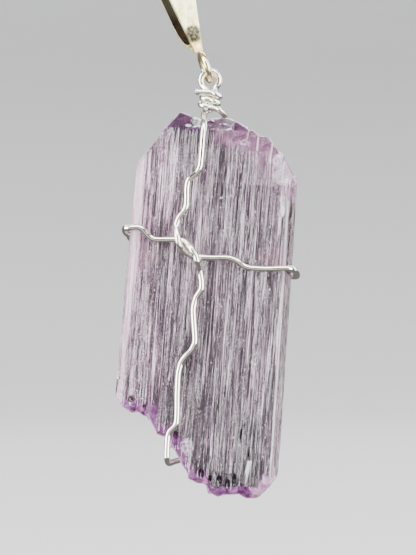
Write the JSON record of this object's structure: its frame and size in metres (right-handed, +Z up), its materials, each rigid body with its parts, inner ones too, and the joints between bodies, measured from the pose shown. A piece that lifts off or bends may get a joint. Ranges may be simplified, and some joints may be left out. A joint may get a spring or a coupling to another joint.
{
  "type": "kunzite crystal pendant",
  "caption": "Flat striated lilac kunzite crystal tied crosswise in silver wire, swinging by a wrapped wire loop under a folded silver bail.",
  "frame": {"origin": "underside of the fold of the silver bail, where a chain or cord carries the pendant", "axes": "+Z up as it hangs, the crystal's broad striated face towards -Y, +X to the right as that face is seen"},
  "size_m": [0.0232, 0.0112, 0.0687],
  "materials": {
    "kunzite": "satin",
    "silver_wire": "satin",
    "worn_silver": "satin",
    "ring_silver": "satin"
  },
  "bodies": {
    "bail": {"bail": "worn_silver", "bail_ring": "ring_silver"},
    "pendant": {"kunzite_crystal": "kunzite", "wire_wrap": "silver_wire"}
  },
  "joints": [
    {"name": "loop_swing", "type": "hinge", "parent": "bail", "child": "pendant", "pos_m": [0.00525, 0, -0.01445], "axis": [0, 1, 0], "range_deg": [-90, 90]}
  ]
}
